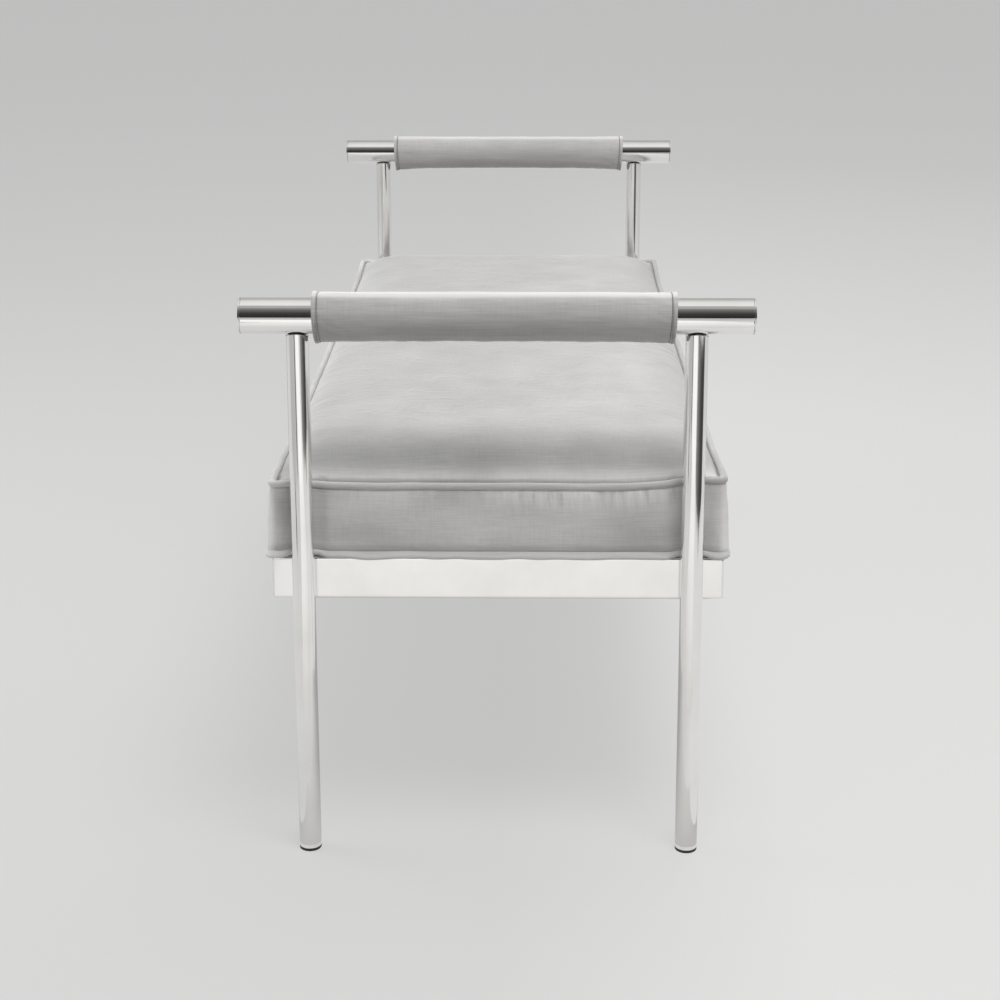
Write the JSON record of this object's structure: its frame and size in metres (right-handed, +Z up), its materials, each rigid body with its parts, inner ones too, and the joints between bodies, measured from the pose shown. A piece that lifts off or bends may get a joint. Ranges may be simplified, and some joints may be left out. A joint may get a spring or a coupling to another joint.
{
  "type": "upholstered luggage bench",
  "caption": "Long hotel bench: a boxed velvet cushion on a polished tube frame, with round legs that rise past the seat to carry padded end bars.",
  "frame": {"origin": "on the floor, under the middle of the bench", "axes": "+X along the bench towards its right end, +Y across it towards the back, +Z up"},
  "size_m": [1.3352, 0.566, 0.6676],
  "materials": {
    "polished_steel": "polished",
    "plain_steel": "satin",
    "black_nylon": "satin",
    "velvet": "matte",
    "foam": "matte",
    "plywood": "matte",
    "dust_fabric": "matte"
  },
  "bodies": {
    "root": {"right_front_leg": "polished_steel", "right_front_glide": "black_nylon", "right_front_leg_block": "plain_steel", "right_front_lower_leg_bolt": "plain_steel", "right_front_upper_leg_bolt": "plain_steel", "right_front_bar_cap": "polished_steel", "right_front_corner_plate": "plain_steel", "right_front_corner_screw": "plain_steel", "right_front_cross_rail_screw": "plain_steel", "right_back_leg": "polished_steel", "right_back_glide": "black_nylon", "right_back_leg_block": "plain_steel", "right_back_lower_leg_bolt": "plain_steel", "right_back_upper_leg_bolt": "plain_steel", "right_back_bar_cap": "polished_steel", "right_back_corner_plate": "plain_steel", "right_back_corner_screw": "plain_steel", "right_back_cross_rail_screw": "plain_steel", "right_end_bar": "polished_steel", "right_sleeve_padding": "foam", "right_sleeve_cover": "velvet", "right_end_rail": "polished_steel", "right_cross_rail": "plain_steel", "left_front_leg": "polished_steel", "left_front_glide": "black_nylon", "left_front_leg_block": "plain_steel", "left_front_lower_leg_bolt": "plain_steel", "left_front_upper_leg_bolt": "plain_steel", "left_front_bar_cap": "polished_steel", "left_front_corner_plate": "plain_steel", "left_front_corner_screw": "plain_steel", "left_front_cross_rail_screw": "plain_steel", "left_back_leg": "polished_steel", "left_back_glide": "black_nylon", "left_back_leg_block": "plain_steel", "left_back_lower_leg_bolt": "plain_steel", "left_back_upper_leg_bolt": "plain_steel", "left_back_bar_cap": "polished_steel", "left_back_corner_plate": "plain_steel", "left_back_corner_screw": "plain_steel", "left_back_cross_rail_screw": "plain_steel", "left_end_bar": "polished_steel", "left_sleeve_padding": "foam", "left_sleeve_cover": "velvet", "left_end_rail": "polished_steel", "left_cross_rail": "plain_steel", "front_side_rail": "polished_steel", "back_side_rail": "polished_steel", "dust_cover": "dust_fabric", "seat_board": "plywood", "seat_foam": "foam", "cushion_boxing": "velvet", "cushion_top_panel": "velvet", "bottom_welt": "velvet", "top_welt": "velvet"}
  },
  "joints": []
}
